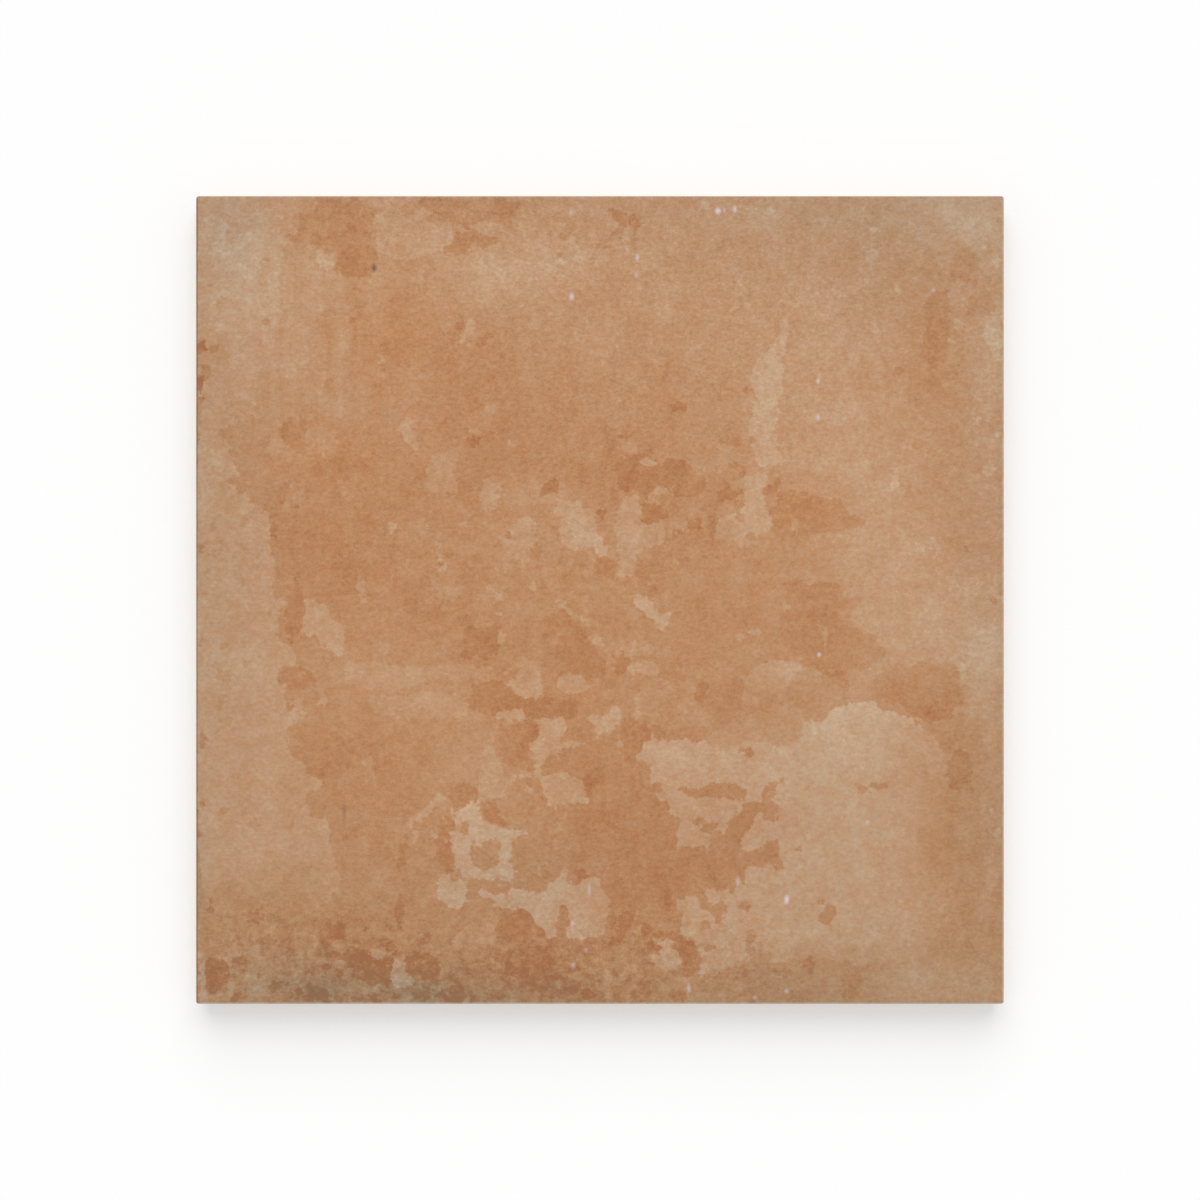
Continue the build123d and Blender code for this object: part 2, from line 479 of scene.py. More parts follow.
# Patches deeper than what lies round them.
DEEP_PATCHES = [
    # The upper part.
    (1.1, [
        (-60, 99.4), (-59.3, 96.5), (-56.8, 96.3), (-56.7, 95.3), (-58.5, 94.8), (-58.7, 92.5),
        (-56.5, 91.3), (-57.3, 87), (-55.5, 86.5), (-55.2, 84.5), (-56.7, 81), (-59, 79.5), (-63, 80),
        (-66, 81.5), (-65, 85.5), (-65.5, 88), (-73, 87.7), (-76.5, 88.2), (-77.7, 90.2), (-75, 90.8),
        (-74.5, 95), (-70.3, 97), (-70.5, 99.4),
    ]),
    (1.5, [
        (-39.3, 86.5), (-39, 88.2), (-36.5, 88.3), (-35.2, 91), (-31, 91.2), (-29.8, 90.2), (-27, 90.2),
        (-25.3, 88.3), (-27, 87.5), (-29.5, 87.6), (-30, 88.8), (-32, 88.3), (-32.5, 86.5), (-34, 85.3),
        (-38, 85.6),
    ]),
    (1.0, [
        (-43.2, 99), (-43, 96), (-39, 95.5), (-38.5, 93), (-33, 92.5), (-30, 94), (-25, 92.8),
        (-21.5, 95), (-21, 99),
    ]),
    (1.0, [(-44, 81), (-40.3, 82.2), (-42.7, 79.8), (-42.8, 75), (-44, 75.5)]),
    (1.3, [(-36, 68), (-34.8, 69.1), (-32.3, 69.1), (-33.7, 67.5), (-35, 66.9)]),
    (1.1, [(-30, 63.5), (-28.5, 65.5), (-26, 65.3), (-28.3, 63), (-29.8, 62.6)]),
    (1.4, [(-53.5, 58.7), (-51.3, 59), (-51.2, 57.8), (-52.8, 56.6), (-53.4, 57.3)]),
    (1.5, [
        (1.8, 95.8), (3, 97), (6.5, 96), (8, 95.2), (8.2, 94.3), (6.7, 93), (6.2, 91.8), (3.8, 90.6),
        (3.3, 90.9), (4.3, 92.3), (3, 95),
    ]),
    (0.9, [(-1.5, 88.3), (1.5, 89.8), (2.3, 88.5), (2.6, 87), (1, 87), (-1.8, 87.3)]),
    (0.9, [
        (-92.7, 91), (-88.5, 93.8), (-86.7, 93.6), (-86.3, 92), (-86.7, 90.8), (-90, 89.3),
        (-91.5, 88.8),
    ]),
    (3.2, [(-99.6, 54.8), (-98, 54.8), (-98, 51.5), (-98.5, 49.8), (-99.6, 50.5)]),
    (0.9, [(-77, 45), (-73, 44.5), (-72.6, 40), (-72.5, 36), (-75.5, 36.5), (-78.8, 41)]),
    # The middle.
    (1.5, [(-32.6, 40), (-30.2, 40.3), (-30, 38.3), (-32, 37.6)]),
    (1.6, [(-15.2, 27), (-12.3, 29.5), (-10.3, 29.5), (-9.8, 27), (-13, 26), (-14.8, 25.2)]),
    (0.9, [(-17, 13.8), (-15.2, 14), (-14.8, 9.8), (-17, 9.5)]),
    (1.1, [(-1.5, 10), (1.5, 11), (3.8, 9), (3.8, 5.2), (2.5, 5), (1, 6), (-1.3, 8.3)]),
    (1.1, [
        (3.5, 33.5), (5, 35), (9, 36.2), (12.5, 37), (13.5, 35), (20, 34.5), (25.5, 31), (25.5, 26),
        (20.5, 26), (17.5, 26.5), (16, 28.3), (14.5, 28.3), (12.5, 25.5), (10.5, 26), (9, 27), (5, 27),
        (4.2, 30),
    ]),
    (1.1, [(10, 24), (13, 24.3), (16.5, 22.5), (17, 21), (15, 19.8), (12.3, 19), (10.5, 20.3)]),
    (1.5, [(17.5, 17.8), (18.5, 18), (19.8, 17), (19.4, 16.4), (17.8, 16.6)]),
    (1.4, [(21.5, 20), (25, 20.4), (25, 17.6), (22, 17.5)]),
    (0.9, [(27, 20), (28.6, 20), (28.3, 15.7), (27.1, 15.8)]),
    (1.4, [(18, 47.8), (20, 48.8), (21.3, 47.5), (20.2, 46), (19, 46.5)]),
    (0.9, [(30, 40), (34.6, 39.8), (34.6, 38.6), (30.3, 38.5)]),
    (1.3, [(31.4, 34.3), (34.5, 34), (36, 32.2), (36.9, 30.2), (34.7, 30.2), (34.3, 32.8), (31.5, 33)]),
    (1.4, [
        (28.8, 26.5), (30.5, 28.5), (32, 29), (32.3, 27.8), (35.5, 27), (33.5, 25.3), (31, 25.2),
        (29.8, 24.4),
    ]),
    (1.1, [(33, 24.4), (36, 24.4), (35.8, 22.6), (33.5, 22.8)]),
    (1.4, [(41, 27.5), (41.8, 28.3), (43, 28.5), (44.3, 31), (44.8, 30), (43.3, 26.4), (41.3, 26.2)]),
    (1.2, [
        (44.3, 27), (50, 26.8), (55.5, 25.3), (59.6, 25.3), (61, 22.5), (66, 19), (62, 17.5), (57, 17),
        (52, 16), (47, 15), (42.5, 16), (42.5, 20), (44, 22.5),
    ]),
    (1.0, [
        (46, 5), (48.5, 5.3), (50.3, 4), (52, 4), (54, 5), (57, 3.8), (60.3, 2.8), (60.5, 0.8),
        (64, 0.2), (63.8, -1.5), (62.3, -3), (61.5, -6.3), (64, -7.5), (65, -9.7), (67, -8.7),
        (68.3, -8.4), (69, -11), (70.8, -13), (70.3, -14.5), (68, -15.2), (64.8, -18), (61.3, -17.3),
        (60, -19.5), (57, -19), (51.5, -17.2), (50.5, -15.3), (46, -12.5), (45, -8), (45, 0),
    ]),
    (0.9, [
        (72, -17), (80, -15.7), (86, -16), (88.4, -17), (88.8, -22), (89.5, -24), (89.3, -26),
        (87.5, -28.5), (84, -30), (77.7, -30), (76, -29.5), (75, -25.6), (71, -25.3), (66.5, -24),
        (67, -20),
    ]),
    (0.9, [
        (-10.2, -1), (-8.5, -3), (-6.5, -4.7), (-5, -5.5), (-4.3, -7.5), (-1.5, -10.5), (-0.8, -13),
        (1.5, -15), (1, -18), (-5, -18.2), (-12, -17.8), (-14.2, -15), (-14, -8), (-12, -3),
    ]),
    (1.0, [(3.5, -14), (7, -13.8), (9.5, -14.8), (7.5, -16), (6.5, -17.8), (4, -18)]),
    (1.0, [(-34, -14), (-33.8, -11), (-33, -7), (-26, -6), (-25, -8.5), (-25.3, -12), (-27.3, -14.2)]),
    (0.9, [
        (-32, -21.5), (-30, -20), (-27.5, -19.5), (-23, -20.5), (-22.3, -22), (-19, -24), (-13, -24.3),
        (-6, -25), (-5.5, -28.5), (-10, -29.5), (-18, -29.2), (-19, -27.3), (-25.5, -27.3),
        (-26.3, -28.6), (-30, -27.8), (-32, -26.5),
    ]),
    (0.9, [(-24.5, -31), (-20, -31), (-16, -31.5), (-15.3, -34), (-17.5, -36), (-18, -40), (-24, -40)]),
    (0.9, [
        (5.5, -30.5), (8, -29.5), (12.8, -31.5), (13, -33.5), (10.5, -35.8), (9.3, -39), (8.5, -40.5),
        (6.5, -40.5), (5.5, -39),
    ]),
    (1.0, [(22.7, -21.7), (26.3, -20.9), (26.2, -25), (26.3, -26.8), (24, -24.5)]),
    # Round the ring.
    (1.0, [
        (-40, -55), (-37.5, -53.7), (-36.2, -54.5), (-35.8, -56.3), (-37.7, -60), (-36, -63.5),
        (-34.5, -67.5), (-37.5, -67), (-41.5, -64), (-41, -61),
    ]),
    (1.1, [
        (-37, -47), (-35.5, -46), (-31, -46.3), (-30.3, -49.5), (-33.5, -51), (-35.5, -51.3),
        (-37, -50),
    ]),
    (1.1, [(-28.8, -50), (-27.2, -48.6), (-25.8, -50.2), (-23.5, -55.2), (-27.5, -54.7), (-29.3, -52)]),
    # The foot.
    (1.9, [
        (-97.5, -90), (-96, -88.8), (-92.8, -88.6), (-92.4, -91), (-92.7, -95), (-95, -97.5),
        (-97.3, -97),
    ]),
    (1.2, [(-90.2, -82.5), (-88.7, -83), (-88.6, -88), (-88.3, -91.8), (-89.3, -92.5), (-89.9, -87)]),
    (1.2, [(-90.3, -97.3), (-87.5, -97.2), (-87.6, -99.2), (-91.3, -99.2)]),
    (1.1, [(-69, -81.5), (-67.5, -80), (-64.5, -80.3), (-63, -82), (-66, -85), (-68.3, -85)]),
    (1.1, [(-68.3, -87), (-66.5, -87.3), (-66.8, -91.5), (-68.2, -92.4)]),
    (1.7, [
        (-66.5, -86.8), (-63, -87.5), (-61.5, -86), (-58.5, -86.3), (-57, -88), (-54.8, -90),
        (-52.5, -88), (-50.3, -87.8), (-51.6, -91), (-51.3, -94), (-54, -95.8), (-58, -94.6),
        (-60, -93.7), (-62.5, -89.5), (-66.3, -88.5),
    ]),
    (1.4, [
        (-50, -88.8), (-48.6, -89.3), (-48, -91), (-46.5, -93.3), (-44.5, -94.3), (-41, -94),
        (-39.5, -92), (-42, -87.5), (-46, -87.5),
    ]),
    (1.2, [(-44.9, -83), (-43, -82.6), (-41.7, -83), (-41.8, -84.8), (-45, -85.2)]),
    (1.1, [
        (9.8, -81), (12, -80), (14, -81.5), (19, -82.3), (23.5, -84.8), (24.4, -87), (23.3, -89.5),
        (24.2, -92), (21.2, -94.2), (20.2, -94), (20.2, -88), (18, -86.8), (16.5, -83.5), (14, -84),
        (10.5, -83),
    ]),
    (1.1, [
        (4, -79), (5.5, -77.5), (8, -77), (8.5, -78), (5.5, -84.5), (3, -86.2), (2.2, -85.5),
        (4.5, -82),
    ]),
    (1.0, [(-29, -87.5), (-26, -87), (-23.5, -88), (-24, -89), (-28.5, -89)]),
    (1.1, [(10.5, -85.3), (13.5, -85.3), (14.8, -86.5), (14, -87.5), (11.5, -86.5)]),
    (0.7, [
        (-23.5, -90), (-22, -86), (-15, -85.5), (-11, -87), (-12, -92.5), (-15, -94), (-17, -96.5),
        (-20, -96.5), (-20.5, -93.5), (-23, -93),
    ]),
    (0.8, [
        (-25, -80), (-20, -76.5), (-16.5, -79), (-14, -82.5), (-16, -84.3), (-22, -84.5), (-27, -83),
    ]),
    (0.8, [(8.5, -95), (12.5, -94.5), (12, -99), (8.5, -99)]),
    (0.8, [(3.3, -95.5), (5.3, -96), (5, -99), (3.3, -99)]),
    (1.0, [(-53, -85.3), (-50.3, -85), (-50.2, -88), (-52.5, -87.8)]),
    # The saturated field at the upper left, and browns at the upper right.
    (0.35, [
        (-61, 78), (-55, 79.5), (-50, 78.5), (-47.5, 75), (-43, 75.5), (-40, 72), (-40, 68), (-36, 64),
        (-35, 59), (-50, 56), (-60, 60), (-61.5, 68), (-60, 72),
    ]),
    (0.8, [(80.5, 75), (85.8, 76), (86.5, 70), (86, 60), (82, 58), (79, 62), (81, 68)]),
    (0.8, [(87.5, 84), (90, 87), (94, 85), (93.5, 81), (94, 79), (89, 79.5), (86.5, 82)]),
    (0.6, [(91, 74), (96, 75.5), (98.5, 73), (95, 70), (91.5, 71)]),
]

# Round marks: (x, y, half width, half height, tone). Above 0 they are pale.
SPOTS = [
    (-73.5, -18.5, 1, 1.2, 1.3), (-68.5, -25, 1, 1.3, 1.2), (-57, -42.5, 1.5, 4, 0.8),
    (-27.3, -46.5, 2, 2.5, 1.3), (-15.3, -67.5, 0.8, 1.5, 1.4), (-11.8, -94.8, 1.8, 1.2, 1.0),
    (3.5, -93.5, 2.5, 1.3, 0.9), (-70, -84, 1, 2, 1.0), (-45.8, -58.5, 0.9, 1.5, 1.4),
    (-21.7, -44, 1, 1, 1.2), (-18, -43.5, 1, 1.2, 1.3), (-18, -46.5, 1, 1.2, 1.3),
    (-9, -53.5, 1.2, 1, 1.1), (-11.5, -57, 1.5, 1, 0.9), (12.3, -20.8, 0.9, 1, 1.1),
    (12.3, -23.4, 0.9, 1, 1.1), (4.4, -35, 0.8, 1.4, 1.0), (84.8, -67.5, 1.1, 1.1, 1.3),
    (96, -65, 1, 1, 1.0), (97, -69, 1.5, 3.5, 0.9), (88.8, -39.5, 1, 1.2, 1.0),
    (98.5, -22, 0.9, 1.5, 0.8), (98.2, -58, 1, 1.2, 1.2), (-51.6, 18.7, 0.9, 1.4, 1.6),
    (-40, 11.5, 0.9, 2, 1.1), (-39.2, 7.9, 1, 0.8, 1.2), (-41.5, 3.3, 1.2, 1.6, 1.0),
    (-39, -0.5, 1, 2.5, 0.7), (-36.3, 1.2, 2, 1.8, 0.9), (-59.2, 3.5, 0.9, 1.8, 1.0),
    (-58.6, 0.6, 0.8, 2, 1.3), (-27, 3, 0.9, 1, 0.8), (-25, 0.5, 1.2, 0.9, 1.5),
    (-24.6, -3.5, 1.1, 0.9, 1.5), (-24.5, -10, 0.9, 2.6, 1.0), (-26, -13.4, 0.9, 0.8, 1.3),
    (-34, -16.5, 1, 0.9, 1.0), (-31.5, -17, 1, 0.9, 1.0), (-27.8, -17, 1, 0.9, 1.0),
    (-23.3, -18.3, 0.9, 1, 1.3), (-53, -12, 1.2, 1, 0.8), (-34, 19, 1, 0.9, 1.5),
    (-43.8, 19.3, 1.2, 1, 0.8), (-22.8, 9.5, 1.3, 2.6, 1.1), (-16.5, 3.3, 0.9, 0.9, 1.3),
    (12.6, 4.3, 0.9, 0.9, 1.2), (18.4, 9.8, 0.9, 1.8, 0.9), (48, 18, 0.9, 1.9, 1.4),
    (38.2, -8.3, 1.4, 0.8, 1.4), (35, -9, 1.3, 0.8, 0.8), (54.7, -6.2, 0.9, 0.9, 1.1),
    (56, -9, 0.9, 1.5, 1.2), (54.2, -18.6, 0.8, 1.3, 0.9), (57.3, -17.6, 1.1, 0.8, 1.0),
    (-9, 22, 1.6, 3, 1.0), (-2.5, 21.5, 2.2, 1.2, 0.9), (11.8, 33.9, 1.3, 0.7, 2.3),
    (16.8, 27.6, 1, 0.7, 1.6), (12.4, 24.8, 0.8, 1.2, 1.0), (14.4, 25.8, 0.9, 1.8, 1.0),
    (4.5, 50, 0.8, 0.7, 1.3), (-27.2, 46.8, 1.6, 1.4, 0.9), (-21.7, 39, 0.8, 1.3, 1.1),
    (-31.2, 41.6, 1.5, 0.9, 1.0), (-24, 27, 0.9, 1.6, 0.9), (7.5, 37.9, 1.7, 1.3, 1.0),
    (-54.4, 57.5, 0.9, 2.7, 1.2), (-57.8, 36.3, 1.3, 1, 0.9), (-64, 28, 1.6, 1.9, 0.7),
    (-74.5, 26, 0.9, 2.3, 0.9), (-76.3, 28.7, 2.2, 0.9, 0.9), (-77.6, 22.8, 0.9, 1.9, 1.0),
    (-79.4, 26.8, 0.9, 1, 0.8), (-9.4, 83.2, 0.8, 1.4, 1.0), (6.3, 88.7, 0.8, 1.8, 0.8),
    (25.6, 97.6, 1, 0.9, 1.2), (38, 97.3, 1, 1.2, 0.8), (41.7, 96.3, 0.9, 0.8, 1.0),
    (65.7, 98, 0.8, 1, 1.0), (62, 94, 0.8, 1, 1.0), (68, 91.6, 1.4, 0.8, 1.0), (67, 84.5, 2, 2, 0.9),
    (73.8, 78, 0.9, 2.1, 1.0), (88.5, 67.8, 1.6, 1.2, 0.9), (87.2, 64.5, 0.8, 1.3, 1.2),
    (86.7, 87, 0.8, 1.6, 0.9), (95, 87.3, 1, 0.9, 1.2), (98.6, 84.2, 0.8, 1.3, 1.0),
    (55.3, 66, 1, 0.9, 1.0), (58.2, 75.8, 0.9, 1, 0.9), (36.7, 72.8, 0.8, 1.3, 0.8),
    (46.5, 74, 1.1, 1, 0.8), (73, 29, 1.1, 1.6, 1.3), (76.5, 37.3, 1.2, 1.2, 1.0),
    (93.3, 44.5, 1, 0.8, 1.0), (96, 32.5, 1.6, 2, 1.1), (79.3, 12.3, 0.9, 2, 1.2),
    (83.2, 13, 0.8, 2, 0.9), (91, -5.6, 1, 1, 1.3), (93.6, 4, 0.9, 0.8, 1.0), (93, 22.5, 0.9, 1, 1.0),
    (89.9, -18, 0.8, 2.6, 1.2), (-48, -58, 0.8, 0.9, -1.0), (23.2, -77, 0.9, 1, -1.2),
    (31.5, -81.5, 0.8, 1, -1.0), (17, -74, 0.8, 1.8, -0.9), (46, -62.8, 0.8, 0.9, -1.0),
    (-83, -75.7, 0.9, 0.8, -1.0), (-96.2, -75.5, 0.9, 2.6, -1.4), (-86, -78.2, 2.2, 0.8, -0.9),
    (-52, -81, 0.9, 0.8, -1.0), (-58, -81, 0.9, 0.8, -1.0), (-51.5, -85.8, 1.4, 0.8, -1.1),
    (-49, -65, 0.9, 4, -0.8), (-81, 17.5, 0.8, 2.4, -1.4), (-92, -30, 2.4, 0.8, -0.7),
    (-93.5, -18.5, 2.6, 1.3, -0.6), (-93.5, -25, 0.9, 2, -0.7), (-93, -52, 1.1, 0.8, -0.9),
    (-91.3, 94.5, 0.8, 1.6, -0.7), (-87.7, 93.4, 0.9, 0.8, -1.0), (-96.6, 78.7, 0.9, 1, -1.3),
    (-93.8, 73.8, 1.4, 1.5, -0.7), (-82.7, 68.7, 1, 0.8, -1.5), (-83.5, 84.1, 1.4, 0.7, -1.1),
    (-95.4, 62.5, 0.9, 0.8, -1.2), (-97.3, 57, 0.9, 1.1, -1.1), (-98.9, 62.3, 0.9, 1.4, -2.4),
    (-67, 53.5, 1.2, 1.6, -0.8), (-69.2, 69.5, 0.9, 1.3, -0.7), (-61.2, 69, 0.9, 2.1, -0.8),
    (-22.9, 94.1, 1, 0.8, -1.3), (-21.8, 97, 0.8, 1.9, -1.1), (-32.6, 94, 0.8, 1, -1.2),
    (-9.9, 85, 1, 0.7, -1.5), (-9.2, 90.2, 1.3, 0.9, -1.0), (-41.9, 98.4, 1.6, 0.9, -1.3),
    (9, 92.3, 0.9, 0.8, -1.0), (-38.9, 9.2, 0.9, 0.7, -2.0), (-37.3, 11, 1, 0.7, -1.0),
    (-23, 16.1, 0.9, 0.9, -1.9), (9.4, 12.7, 0.9, 0.7, -1.2), (0.6, 21.5, 0.9, 1, -1.6),
    (5.6, 40.6, 1.3, 0.8, -1.0), (3.3, 37.4, 1.3, 1, -0.8), (34, 78.8, 0.8, 0.8, -1.2),
    (42.8, 21.5, 1, 1.3, -0.9), (37, 51.6, 1, 0.8, -1.2), (36.8, 47, 1, 0.9, -1.1),
    (95.7, 48.3, 0.8, 0.7, -1.9), (90.7, 12.5, 0.9, 0.8, -1.2), (97, 0, 1, 0.9, -1.3),
    (88, 57, 1, 1.3, -0.8), (73.5, 56.5, 1.2, 1.3, -0.8), (93.8, 94.5, 1.3, 0.8, -1.2),
    (98.5, 93.9, 0.9, 0.8, -1.6), (87.3, 83.5, 1.1, 0.8, -0.8), (95.8, 86, 1.4, 0.8, -1.0),
    (-75.5, -2.5, 2.5, 8, -0.9), (-74.7, -19.5, 4.8, 2.6, -0.8), (-68.5, -38.5, 8, 6, -0.5),
    (-3, -46, 2, 3, -1.0), (89, -42, 3, 5, -1.0), (61, -22.7, 1.1, 2.8, -0.9),
    (25.8, -80.3, 1.3, 1.2, -1.2), (14.2, -86.6, 0.8, 0.8, -1.2), (26.9, -96, 0.8, 0.8, -1.2),
    (4.2, -97.7, 0.9, 0.8, -1.2), (10, -98.2, 0.9, 0.8, -1.2), (49.9, -46.3, 1.2, 0.7, -0.9),
    (-81.3, 11, 1, 0.9, -1.0), (-81.5, -3.5, 0.9, 1, -1.0), (-80.3, -8.8, 0.9, 1, -1.0),
    (-77, -27, 1, 0.9, -1.0), (-63, -59, 0.9, 1, -1.0), (-14.3, -48.5, 0.9, 0.9, -1.1),
    (-4.5, -68.3, 0.9, 0.9, -1.1), (-93.3, -11.3, 0.9, 0.8, -0.9), (-88.2, 19, 0.9, 0.9, -1.0),
    (-91.3, 6.5, 0.9, 0.8, -0.9), (-89, 3.8, 0.8, 0.9, -0.9), (-96, 17.8, 0.8, 0.9, -1.0),
    (-96, 12, 0.9, 0.8, -1.0), (-87.5, -16, 0.9, 0.8, -0.9), (-88, -52.2, 0.8, 0.8, -0.9),
    (-85.5, -55.3, 0.8, 1.5, -0.9), (-76.2, -56, 0.9, 0.9, -0.9), (-98.4, -34.5, 0.8, 2.6, -1.5),
    (-98.6, -51, 0.8, 1.3, -1.6), (-98.7, -58.5, 0.8, 0.9, -1.4), (-98.6, -10.5, 0.8, 2.6, -1.4),
    (-98.8, 13, 0.8, 1, -1.4), (-98.4, -94, 0.7, 6, 1.4), (66.3, -62.7, 1, 0.9, 0.9),
    (78, -36, 1.2, 1, 0.8), (82, -50.5, 1, 1, 0.8), (9.5, -83, 1.1, 1.6, 1.2),
    (-8.5, -67.5, 1, 0.9, 1.1), (-13, -66, 0.9, 0.9, 1.1), (46, -1, 0.8, 1.3, 1.1),
    (51.8, -90.2, 1.5, 1.8, -0.8), (62.5, -94.5, 2.6, 4.5, -0.5), (45.5, -92.2, 2.4, 1.8, -0.8),
    (-81, -95.7, 1.4, 1, -1.6), (-77.5, -95, 1, 1.3, -1.5), (-72.5, -95.7, 1, 0.8, -1.4),
    (-70.5, -97.6, 4, 1.6, -1.7), (-42.5, -97.4, 4, 1.5, -1.6), (-34.5, -99, 3, 1, -1.5),
    (-10, -96, 6, 2.6, -1.0), (-54, -98, 3.5, 1.6, -1.2), (-25, -97.5, 3, 1.4, -1.1),
    (21, -98.4, 3, 1, -0.8), (-49.5, -78, 0.9, 4, -1.0), (-85, -79, 2.2, 1, -1.2),
    (-64.3, -92.7, 0.8, 0.8, -1.3), (-61, -98.8, 0.9, 0.8, -1.5), (-58.8, -98.6, 0.8, 0.9, -1.5),
    (-13.5, -97, 1.4, 1.4, -1.2), (-3, -97.6, 2, 1.4, -1.4), (-56, -96.6, 2, 1.4, 0.9),
    (-39.9, -97.6, 1.9, 1.4, 0.9), (-35.5, -97, 1.4, 2, -1.3), (36, -92.6, 2.8, 1.6, -1.0),
    (-92.5, 94.6, 1.2, 0.8, -0.7),
]

# Marks too small for the mesh, most of them white: (x, y, half width, half height,
# whiteness). Below 0 they are dark.
SPECKS = [
    (29.2, 96.3, 0.6, 0.6, 1.0), (33.4, 96.8, 0.4, 0.7, 0.8), (-7.2, 96, 0.4, 0.8, 0.3),
    (9.2, 84.8, 0.4, 0.7, 0.6), (9.0, 80.6, 0.4, 0.6, 0.4), (-7, 75.1, 0.5, 0.8, 0.8),
    (54, 54.2, 0.4, 0.6, 0.7), (54, 45.2, 0.4, 0.7, 0.7), (82.6, 76.7, 0.5, 0.5, 0.4),
    (98.2, 40.8, 0.4, 0.6, 0.3), (53.8, 75.8, 0.4, 0.4, 0.3), (54.2, -13.5, 0.4, 0.5, 0.8),
    (-2.6, -71.8, 0.3, 1.4, 0.4), (-6.8, -80, 0.4, 0.5, 0.5), (-3.5, -86.7, 0.5, 0.5, 0.4),
    (-6.6, -90.4, 0.5, 0.5, 0.5), (22, -96, 0.4, 0.9, 0.5), (34.1, -69.5, 0.4, 0.9, 0.5),
    (46.2, -74.2, 0.5, 0.9, 1.0), (46.2, -96.8, 0.5, 0.5, 0.5), (38.4, -98.4, 0.5, 0.4, 0.4),
    (66.2, -55, 0.4, 0.5, 0.4), (96.8, -52, 0.4, 0.5, 0.3), (-55.9, 82.2, 0.5, 0.8, -0.8),
    (-63.3, -52.4, 0.4, 1.9, -0.3), (-87.7, -96.5, 0.4, 0.5, -0.4),
]

# Soft washes over the print: (x, y, half width, half height, tone).
base_tone = -1.4
TONE_WASHES = [
    # The upper half.
    (0, 82, 70, 26, 1.1), (62, 45, 34, 34, 1.6), (-86, 78, 16, 24, 2.0), (-94, 92, 10, 10, 0.6),
    (-24, 82, 14, 7, 0.8), (-8, 88, 8, 6, 0.4), (81, 56, 11, 20, -0.7), (97, 55, 5, 40, 0.8),
    (90, 95, 14, 10, 1.8), (52, 96, 26, 6, 0.6), (70, 30, 18, 10, 0.3), (-45, 66, 10, 9, -0.3),
    (-30, 54, 12, 12, -0.3), (-48, 48, 6, 12, 0.6), (-72, 52, 12, 8, 0.5), (6, 34, 18, 8, -0.2),
    (-68, 17, 11, 12, -0.4), (-12, 12, 24, 12, 0.5), (-55, 72, 2, 12, 0.5), (-65, 65, 2, 7, 0.5),
    (-62, 50, 5, 12, 0.5), (-32, 80, 16, 9, 0.6), (-15, 25, 9, 6, 0.8), (98, 62, 5, 10, 0.6),
    (0, 60, 8, 10, 0.4),
    # The right side.
    (75, 5, 22, 16, 1.4), (95, -8, 12, 13, 0.8), (88, 13, 6, 7, -0.7), (96, -20, 6, 14, 0.7),
    (90, -62, 10, 30, 0.3), (75, -14, 24, 12, 1.1), (97, -45, 4, 25, 0.6), (90.5, -65, 5, 20, -0.4),
    # The middle and the lower half.
    (-60, -19, 24, 11, 0.7), (-40, -26, 12, 6, 0.6), (20, -2, 30, 14, 0.4), (10, -60, 18, 15, -0.55),
    (60, -38, 16, 10, 0.6), (-35, -60, 20, 10, 0.1), (-30, -44, 12, 12, 0.8), (-6, -43, 8, 6, -0.5),
    (28, -62, 26, 22, -0.45), (66, -64, 22, 22, -0.15), (-5, -72, 16, 10, -0.2), (58, -30, 14, 6, 0.5),
    (24, -40, 14, 7, 0.4), (30, 0, 18, 10, -0.35),
    # The dark foot.
    (-55, -97, 45, 9, -0.8), (-10, -96, 22, 9, -0.7), (-78, -83, 26, 6, -0.7), (30, -97, 30, 7, -0.3),
    (80, -94, 16, 8, 1.0), (-30, -88, 16, 6, -0.5), (-14, -87, 9, 6, -0.4),
]

# Where the pale patches fade out softly: (x, y, half width, half height, share).
PALE_FADES = [
    (-92, 62, 16, 14, 1.0), (-84, -76, 24, 8, 1.0), (88, -58, 12, 36, 1.0), (62, -92, 30, 7, 1.0),
    (42, -25, 9, 5, 0.9), (1, -77, 4, 7, 0.5),
]

# Where the deep patches fade out softly.
DEEP_FADES = [
    (42, -4, 6, 12, 1.0), (-13, -10, 5, 8, 0.9), (66, -24, 5, 7, 0.7), (-70, 101, 8, 5, 0.3),
    (50, 14, 14, 3, 1.0),
]

